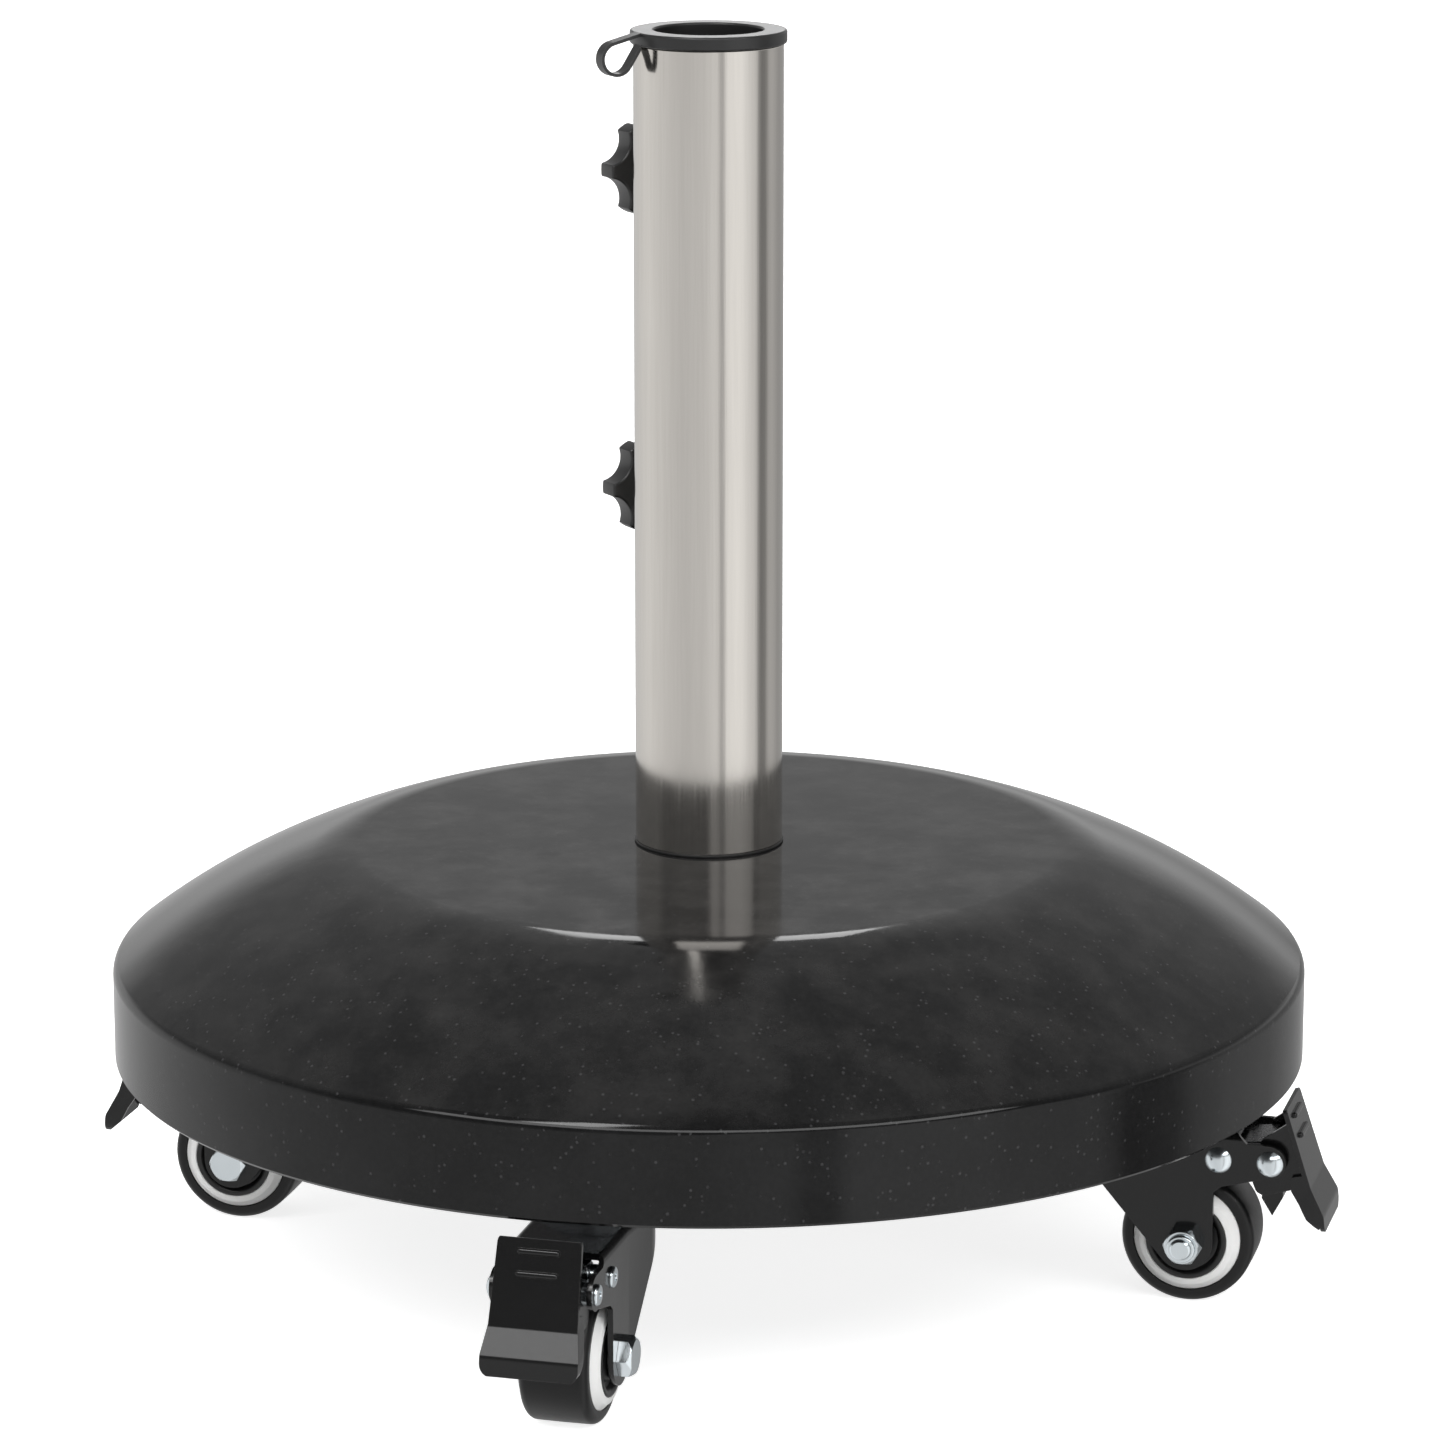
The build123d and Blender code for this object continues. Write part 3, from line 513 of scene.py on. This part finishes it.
def makeBosses():
    tubeRadius = nodeBox("pole_tube")[1].x
    reach = tubeRadius + tubeShape["bossLength"]
    whole = bmesh.new()
    bore, outer = tubeShape["bossBore"], tubeShape["bossRadius"]
    for height in bossHeights():
        boss = spinProfile([(bore, tubeRadius - 0.5), (bore, reach), (outer, reach),
                            (outer, tubeRadius - 0.5)], steps=64, axis="Y")
        softenEdges(boss, 0.4, sharper=60)
        # bed the inner end on the round of the tube
        for v in boss.verts:
            if v.co.y < tubeRadius + 0.5:
                v.co.y = math.sqrt(tubeRadius ** 2 - v.co.x ** 2) - 0.15
        bmesh.ops.translate(boss, vec=(0, 0, height), verts=boss.verts)
        turnedTo(boss, tubeShape["knobAngle"] - 90)
        mesh = bpy.data.meshes.new("bossPart")
        boss.to_mesh(mesh)
        whole.from_mesh(mesh)
        bpy.data.meshes.remove(mesh)
        boss.free()
    finishPiece(whole, "studBosses", "tube_steel", "base", "knob_bosses")


def makeWelds():
    # a small fillet of weld round each boss, riding on the tube's curve
    tubeRadius = nodeBox("pole_tube")[1].x
    whole = bmesh.new()
    for height in bossHeights():
        bead = spinProfile([(tubeShape["bossRadius"] + r, tubeRadius + h) for r, h in
                            arcPoints((0, 0), tubeShape["weldRadius"], 0, 330, 11)], steps=72, axis="Y")
        for v in bead.verts:
            ripple = 0.12 * math.sin(26 * math.atan2(v.co.z, v.co.x))
            v.co.y += math.sqrt(tubeRadius ** 2 - v.co.x ** 2) - tubeRadius + ripple
        bmesh.ops.translate(bead, vec=(0, 0, height), verts=bead.verts)
        turnedTo(bead, tubeShape["knobAngle"] - 90)
        mesh = bpy.data.meshes.new("beadPart")
        bead.to_mesh(mesh)
        whole.from_mesh(mesh)
        bpy.data.meshes.remove(mesh)
        bead.free()
    finishPiece(whole, "bossWelds", "tube_steel", "base")


def makeGasket():
    low, high = nodeBox("foot_gasket")
    bm = spinProfile([(gasketShape["inner"], low.z), (high.x, low.z), (high.x, high.z),
                      (gasketShape["inner"], high.z)], steps=160)
    softenEdges(bm, gasketShape["round"], sharper=60)
    finishPiece(bm, "footGasket", "gasket_rubber", "base", "foot_gasket")


makePoleTube()
makeBosses()
makeWelds()
makeGasket()
print("tube, bosses and gasket made")


# adapter cap and pull loop

capShape = {"hole": 20.0, "edgeRound": 0.9, "sleeveWall": 1.8, "sleeveClearance": 0.08, "loopEdge": 0.35,
            "flangeOverhang": 1.2, "seatGap": 0.2}


def makeCap():
    low, high = nodeBox("reducer_cap")
    tubeHigh = nodeBox("pole_tube")[1]
    outer = tubeHigh.x + capShape["flangeOverhang"]
    sleeve = tubeHigh.x - tubeShape["wall"] - capShape["sleeveClearance"]
    hole = capShape["hole"]
    wall = capShape["sleeveWall"]
    underside = tubeHigh.z + capShape["seatGap"]
    bm = spinProfile([
        (hole, high.z), (outer, high.z), (outer, underside), (sleeve, underside), (sleeve, low.z),
        (sleeve - wall, low.z), (sleeve - wall, underside + 1), (hole + wall, underside + 1),
        (hole + wall, low.z), (hole, low.z)], steps=160)
    softenEdges(bm, capShape["edgeRound"], sharper=60, segments=4,
                keep=lambda e: e.verts[0].co.z > high.z - 0.01 or
                e.verts[0].co.xy.length > sleeve + 0.5)
    finishPiece(bm, "adapterCap", "cap_plastic", "cap", "reducer_cap", weighted=True)
    finishPiece(copyOfNode("cap_pull_loop", capShape["loopEdge"]), "pullLoop", "cap_plastic", "cap",
                "cap_pull_loop", weighted=True)


makeCap()
print("adapter cap made")


# star knobs and studs

knobShape = {
    "radius": 18.1,
    "waist": 13.5,
    "lobes": 6,
    "lobeWidth": 5.0,
    "depth": 9.7,
    "face": 39.5,             # from the tube's axis to the inner face
    "edgeRound": 1.2,
    "hubRadius": 9.0,
    "hubHeight": 1.2,
    "plugRadius": 5.2,
}
studShape = {"radius": 3.95, "pitch": 1.25, "depth": 0.45, "tip": 23.5}


def starRadius(angle):
    # a round knob with a scallop cut between each pair of lobes
    shape = knobShape
    lobeHalf = math.atan2(shape["lobeWidth"] / 2, shape["radius"])
    valleyHalf = math.pi / shape["lobes"] - lobeHalf
    chord = shape["radius"] * math.sin(valleyHalf)
    depth = shape["radius"] * math.cos(valleyHalf) - shape["waist"]
    scallop = (chord ** 2 + depth ** 2) / (2 * depth)
    away = shape["waist"] + scallop
    step = math.tau / shape["lobes"]
    off = (angle + step / 2) % step - step / 2
    inside = scallop ** 2 - (away * math.sin(off)) ** 2
    if inside <= 0:
        return shape["radius"]
    return min(shape["radius"], away * math.cos(off) - math.sqrt(inside))


def placeKnob(bm, level):
    # stand a piece drawn along +Z out along the stud
    low, high = nodeBox(f"{level}_star_knob")
    height = (low.z + high.z) / 2
    angle = math.radians(tubeShape["knobAngle"])
    outward = Vector((math.cos(angle), math.sin(angle), 0))
    across = Vector((0, 0, 1)).cross(outward)
    turn = Matrix((Vector((0, 0, 1)), -across, outward)).transposed()
    bmesh.ops.rotate(bm, cent=(0, 0, 0), matrix=turn, verts=bm.verts)
    bmesh.ops.translate(bm, vec=(0, 0, height), verts=bm.verts)


def makeKnob(level):
    shape = knobShape
    bm = bmesh.new()
    bmesh.ops.create_circle(bm, cap_ends=True, segments=180, radius=1)
    for v in bm.verts:
        v.co *= starRadius(math.atan2(v.co.y, v.co.x))
        v.co.z = shape["face"]
    grown = bmesh.ops.extrude_face_region(bm, geom=bm.faces[:])
    top = [v for v in grown["geom"] if isinstance(v, bmesh.types.BMVert)]
    bmesh.ops.translate(bm, vec=(0, 0, shape["depth"]), verts=top)
    bmesh.ops.recalc_face_normals(bm, faces=bm.faces)
    rims = [e for e in bm.edges if e.is_manifold and abs(e.verts[0].co.z - e.verts[1].co.z) < 0.01]
    bmesh.ops.bevel(bm, geom=rims, offset=shape["edgeRound"], offset_type="OFFSET", segments=4,
                    profile=0.5, affect="EDGES", clamp_overlap=True, material=-1)
    placeKnob(bm, level)
    finishPiece(bm, f"{level}StarKnob", "knob_plastic", f"{level}_knob", f"{level}_star_knob")
    crown = shape["face"] + shape["depth"]
    top = crown + shape["hubHeight"]
    hub, plug = shape["hubRadius"], shape["plugRadius"]
    bm = spinProfile([(0, top - 0.5), (plug, top - 0.5), (plug + 0.4, top), (hub - 0.5, top),
                      (hub, top - 0.5), (hub, crown - 0.6), (0, crown - 0.6)], steps=72)
    placeKnob(bm, level)
    finishPiece(bm, f"{level}KnobHub", "knob_plastic", f"{level}_knob")


def makeStud(level):
    shape = studShape
    outer, root = shape["radius"], shape["radius"] - shape["depth"]
    end = knobShape["face"] + 4
    turns = int((end - shape["tip"] - 1) / shape["pitch"])
    points = [(0, shape["tip"]), (root - 0.6, shape["tip"]), (root, shape["tip"] + 0.8)]
    for turn in range(turns):
        foot = shape["tip"] + 1 + turn * shape["pitch"]
        crest = foot + shape["pitch"] / 2
        flat = shape["pitch"] * 0.08
        points += [(root, foot), (outer, crest - flat), (outer, crest + flat)]
    points += [(root, end), (0, end)]
    bm = spinProfile(points, steps=48)
    placeKnob(bm, level)
    finishPiece(bm, f"{level}ClampStud", "zinc_plate", f"{level}_stud", f"{level}_clamp_stud")


for level in ("upper", "lower"):
    makeKnob(level)
    makeStud(level)
print("knobs and studs made")


# castors

wheelShape = {
    "axle": 187.0,            # from the tube's axis
    "radius": 25.0,
    "width": 25.2,
    "shoulder": 3.0,
    "crownRise": 0.35,        # the tread stands this much prouder in the middle
    "rim": 20.0,
    "ringWidth": 4.9,
    "ringEdge": 12.2,         # half widths: outer edge of the pale ring
    "ringLip": 15.2,          # and its inner edge
    "coverLip": 15.4,
    "coverDish": 13.2,
    "bossRadius": 8.4,
    "bossFace": 15.4,
    "bore": 6.1,
    "web": 9.0,               # half width of the web behind the covers
}
edgeRounds = {"fork": 0.3, "brake_pedal": 0.35, "brake_shoe": 0.3, "brake_spring": 0.12,
              "axle_bolt_set": 0.25, "fork_rivets": 0.15}
pieceBodies = {"fork": "castor", "brake_pedal": "pedal", "brake_shoe": "pedal",
               "brake_spring": "castor", "axle_bolt_set": "castor", "fork_rivets": "castor"}


def tyreProfile():
    shape = wheelShape
    half, round_ = shape["width"] / 2, shape["shoulder"]
    tread = shape["radius"]
    side = [(shape["rim"], half - 0.4), (shape["rim"] + 0.4, half)]
    shoulder = arcPoints((tread - round_, half - round_), round_, 90, 0, 6)
    shoulder = [(r - shape["crownRise"] * (h / half) ** 2 * 0.4, h) for r, h in shoulder]
    near = side + shoulder + [(tread, 0.35), (tread, 0.0)]
    far = [(r, -h) for r, h in reversed(near[:-1])]
    return near + far


def rimProfile():
    shape = wheelShape
    inner = shape["rim"] - shape["ringWidth"]
    middle = shape["rim"] - shape["ringWidth"] / 2
    lip, edge, web = shape["ringLip"], shape["ringEdge"], shape["web"]
    near = [(shape["bore"], web), (inner, web), (inner, lip - 0.3), (inner + 0.3, lip),
            (middle - 0.1, lip - 0.5), (middle + 0.1, lip - 0.65), (middle + 0.35, lip - 1.1),
            (shape["rim"] - 0.3, edge + 0.25), (shape["rim"], edge - 0.2)]
    return near + [(r, -h) for r, h in reversed(near)]


def coverProfile(side):
    shape = wheelShape
    outer = shape["rim"] - shape["ringWidth"]
    boss = shape["bossRadius"]
    lip, dish, face = shape["coverLip"], shape["coverDish"], shape["bossFace"]
    points = [(shape["bore"] + 0.3, shape["web"]), (outer, shape["web"]), (outer, lip - 0.5)]
    points += arcPoints((outer - 0.6, lip - 0.5), 0.6, 0, 90, 3)
    points += [(outer - 1.8, lip), (outer - 2.4, lip - 0.5), (outer - 3.0, dish + 0.4),
               (outer - 3.4, dish), (boss + 1.6, dish), (boss + 1.1, dish + 0.5),
               (boss + 0.2, face - 0.4), (boss - 0.3, face), (shape["bore"] + 0.8, face),
               (shape["bore"] + 0.3, face - 0.4)]
    return [(r, h * side) for r, h in points]


def placeCastor(bm, place):
    turnedTo(bm, castorPlaces[place])


def makeWheel(place):
    shape = wheelShape
    for name, finish, profile, steps, node in (
            ("Tyre", "tyre_black", tyreProfile(), 144, "tyre"),
            ("WheelRim", "rim_grey", rimProfile(), 112, "wheel_rim")):
        bm = spinProfile(profile, steps=steps, axis="Y")
        bmesh.ops.translate(bm, vec=(shape["axle"], 0, shape["radius"]), verts=bm.verts)
        placeCastor(bm, place)
        finishPiece(bm, f"{place}{name}", finish, f"{place}_wheel", f"{place}_{node}")
    whole = bmesh.new()
    for side in (1, -1):
        cover = spinProfile(coverProfile(side), steps=96, axis="Y")
        mesh = bpy.data.meshes.new("coverPart")
        cover.to_mesh(mesh)
        whole.from_mesh(mesh)
        bpy.data.meshes.remove(mesh)
        cover.free()
    bmesh.ops.translate(whole, vec=(shape["axle"], 0, shape["radius"]), verts=whole.verts)
    placeCastor(whole, place)
    finishPiece(whole, f"{place}HubCovers", "black_plastic", f"{place}_wheel", f"{place}_hub_covers")


def makeCastorPieces():
    # each piece is softened once and turned to the four places
    for kind, width in edgeRounds.items():
        master = copyOfNode(f"right_{kind}", width)
        for place in castorPlaces:
            bm = master.copy()
            placeCastor(bm, place)
            words = "".join(word.capitalize() for word in kind.split("_"))
            body = f"{place}_{pieceBodies[kind]}"
            finishPiece(bm, f"{place}{words}", nodeSlots[f"right_{kind}"], body, f"{place}_{kind}",
                        weighted=True)
        master.free()


for place in castorPlaces:
    makeWheel(place)
makeCastorPieces()
print("castors made")


# stage, light and camera

stageLook = {"floorSize": 60.0, "floorTone": 0.85, "glowToEye": 0.8, "glow": 0.1,
             "panelSoftSide": 0.08, "panelSoftTop": 0.02}
cameraPlace = {"azimuth": -75.0, "distance": 2.01937, "height": 0.70036, "pitch": 13.722, "yaw": 0.1443,
               "focal": 138.44}


def makeFloor():
    bm = bmesh.new()
    bmesh.ops.create_grid(bm, x_segments=1, y_segments=1, size=stageLook["floorSize"] / 2)
    mesh = bpy.data.meshes.new("floor")
    bm.to_mesh(mesh)
    bm.free()
    floor = bpy.data.objects.new("floor", mesh)
    bpy.context.scene.collection.objects.link(floor)
    floor.location.z = -0.0002
    material = bpy.data.materials.new("floorPaper")
    material.use_nodes = True
    tree = material.node_tree
    shader = tree.nodes["Principled BSDF"]
    shader.inputs["Base Color"].default_value = (*[stageLook["floorTone"]] * 3, 1)
    shader.inputs["Roughness"].default_value = 0.9
    shader.inputs["Specular IOR Level"].default_value = 0.0
    shader.inputs["Emission Color"].default_value = (1, 1, 1, 1)
    rays = tree.nodes.new("ShaderNodeLightPath")
    glow = mapRange(tree, (-2, 2), rays.outputs["Is Camera Ray"], 0.0, 1.0, stageLook["glow"],
                    stageLook["glowToEye"])
    tree.links.new(glow, shader.inputs["Emission Strength"])
    # glossy pieces see the room below the horizon instead of the paper
    clear = tree.nodes.new("ShaderNodeBsdfTransparent")
    choose = tree.nodes.new("ShaderNodeMixShader")
    tree.links.new(rays.outputs["Is Glossy Ray"], choose.inputs["Fac"])
    tree.links.new(shader.outputs[0], choose.inputs[1])
    tree.links.new(clear.outputs[0], choose.inputs[2])
    tree.links.new(choose.outputs[0], tree.nodes["Material Output"].inputs["Surface"])
    mesh.materials.append(material)


# brightness of the room round the horizon: (degrees to the right of the camera, level)
roomBands = [(-180, 0.55), (-140, 0.8), (-109, 0.95), (-75, 0.84), (-39, 0.73), (-7, 0.78), (10, 0.9),
             (15, 0.86), (18, 0.55), (23, 0.56), (27, 1.1), (50, 1.17), (68, 0.9), (78, 0.78),
             (86, 0.24), (98, 0.26), (106, 0.55), (116, 0.56), (135, 0.4), (160, 0.4), (180, 0.55)]
# brightness above the horizon: (sine of the height, level)
roomHeights = [(0.0, 0.85), (0.12, 0.8), (0.242, 0.43), (0.275, 0.36), (0.6, 0.48), (1.0, 0.48)]
frontHeights = [(0.0, 0.6), (0.3, 0.2), (1.0, 0.24)]
# bright panels: degrees to the right of the camera, sine of the height, level
roomPanels = [((-64, 66), (0.5, 0.7), 4.5), ((-46, -22), (0.7, 0.95), 11.0)]


def rampOf(tree, place, factor, stops):
    # stops are (position from 0 to 1, grey level)
    node = addNode(tree, "ShaderNodeValToRGB", place)
    ramp = node.color_ramp
    while len(ramp.elements) > 1:
        ramp.elements.remove(ramp.elements[0])
    ramp.elements[0].position = stops[0][0]
    ramp.elements[0].color = (*[stops[0][1]] * 3, 1)
    for position, level in stops[1:]:
        ramp.elements.new(position).color = (level, level, level, 1)
    tree.links.new(factor, node.inputs[0])
    return node.outputs["Color"]


def panelMask(tree, toRight, height, across, up):
    # 1 inside a panel and 0 outside it
    left, right = (math.radians(edge) for edge in across)
    softSide, softTop = stageLook["panelSoftSide"], stageLook["panelSoftTop"]
    mask = mapRange(tree, (-5, 6), toRight, left, left + softSide, 0.0, 1.0)
    for value, start, end in ((toRight, right, right - softSide), (height, up[0], up[0] + softTop),
                              (height, up[1], up[1] - softTop)):
        side = mapRange(tree, (-5, 7), value, start, end, 0.0, 1.0)
        mask = maths(tree, "MULTIPLY", (-3, 6), mask, side)
    return mask


def makeWorld():
    # white to the eye; to everything else a soft studio with bright and dark panels
    world = bpy.data.worlds.new("studio")
    bpy.context.scene.world = world
    world.use_nodes = True
    tree = world.node_tree
    background = tree.nodes["Background"]
    direction = addNode(tree, "ShaderNodeTexCoord", (-9, 0)).outputs["Generated"]
    parts = tree.nodes.new("ShaderNodeSeparateXYZ")
    tree.links.new(direction, parts.inputs[0])
    bearing = maths(tree, "ARCTAN2", (-7, 0), parts.outputs["Y"], parts.outputs["X"])
    toRight = maths(tree, "SUBTRACT", (-6, 0), bearing, math.radians(cameraPlace["azimuth"]))
    share = maths(tree, "WRAP", (-5, 0), maths(tree, "DIVIDE", (-6, 1), toRight, math.tau), 0.5)
    tree.nodes[-1].inputs[2].default_value = -0.5
    around = maths(tree, "MULTIPLY", (-5, 2), share, math.tau)
    share = maths(tree, "ADD", (-4, 0), share, 0.5)
    bands = rampOf(tree, (-3, 0), share, [(degrees / 360 + 0.5, level) for degrees, level in roomBands])
    heights = rampOf(tree, (-3, 2), parts.outputs["Z"], roomHeights)
    # to the front right the panels stand higher than elsewhere
    facing = maths(tree, "COSINE", (-6, 4), toRight)
    lift = maths(tree, "MULTIPLY", (-5, 4), mapRange(tree, (-6, 5), facing, 0.0, 0.4, 0.0, 0.3),
                 mapRange(tree, (-6, 6), around, -0.2, 0.1, 0.0, 1.0))
    infront = mapRange(tree, (-4, 5), facing, 0.0, 0.3, 0.0, 1.0)
    frontLight = rampOf(tree, (-3, 3), parts.outputs["Z"], frontHeights)
    heights = mixColours(tree, (-2, 3), infront, heights, frontLight)
    lowered = maths(tree, "SUBTRACT", (-4, 4), parts.outputs["Z"], lift)
    above = mapRange(tree, (-3, 4), lowered, 0.0, 0.1, 0.0, 1.0)
    light = mixColours(tree, (-2, 0), above, bands, heights)
    for across, up, level in roomPanels:
        mask = panelMask(tree, around, parts.outputs["Z"], across, up)
        light = mixColours(tree, (-1, 1), mask, light, (level, level, level))
    tree.links.new(light, background.inputs["Color"])
    plain = addNode(tree, "ShaderNodeBackground", (-1, 2))
    plain.inputs["Color"].default_value = (1, 1, 1, 1)
    rays = tree.nodes.new("ShaderNodeLightPath")
    choose = tree.nodes.new("ShaderNodeMixShader")
    tree.links.new(rays.outputs["Is Camera Ray"], choose.inputs["Fac"])
    tree.links.new(background.outputs[0], choose.inputs[1])
    tree.links.new(plain.outputs[0], choose.inputs[2])
    tree.links.new(choose.outputs[0], tree.nodes["World Output"].inputs["Surface"])


lamps = [
    # name, place, aim, width, height, power, seen in reflections
    ("frontSoftbox", (0.15, -1.85, 1.85), (0, 0, 0.1), 2.6, 0.34, 12, False),
    ("backSoftbox", (-0.26, 0.97, 0.74), (0, 0, 0.466), 0.26, 0.2, 0.5, True),
    ("topFill", (-0.4, 0.2, 2.4), (0, 0, 0.1), 1.6, 1.2, 8, False),
    ("rightFill", (1.8, -0.9, 0.9), (0, 0, 0.2), 0.6, 1.4, 5, False),
]


def makeLamps():
    for name, place, aim, width, height, power, glossy in lamps:
        lamp = bpy.data.lights.new(name, "AREA")
        lamp.shape = "RECTANGLE"
        lamp.size, lamp.size_y = width, height
        lamp.energy = power
        holder = bpy.data.objects.new(name, lamp)
        bpy.context.scene.collection.objects.link(holder)
        holder.location = place
        holder.rotation_euler = (Vector(aim) - Vector(place)).to_track_quat("-Z", "Y").to_euler()
        holder.visible_camera = False
        holder.visible_glossy = glossy


def makeCamera():
    camera = bpy.data.cameras.new("camera")
    holder = bpy.data.objects.new("camera", camera)
    bpy.context.scene.collection.objects.link(holder)
    azimuth = math.radians(cameraPlace["azimuth"])
    pitch = math.radians(cameraPlace["pitch"])
    look = azimuth + math.pi - math.radians(cameraPlace["yaw"])
    away = cameraPlace["distance"]
    holder.location = (away * math.cos(azimuth), away * math.sin(azimuth), cameraPlace["height"])
    level = math.cos(pitch)
    forward = Vector((math.cos(look) * level, math.sin(look) * level, -math.sin(pitch)))
    holder.rotation_euler = forward.to_track_quat("-Z", "Y").to_euler()
    camera.lens = cameraPlace["focal"]
    camera.sensor_width = 36
    camera.clip_end = 100
    bpy.context.scene.camera = holder


makeFloor()
makeWorld()
makeLamps()
makeCamera()
bpy.context.scene.view_settings.view_transform = "Standard"
print("stage made")
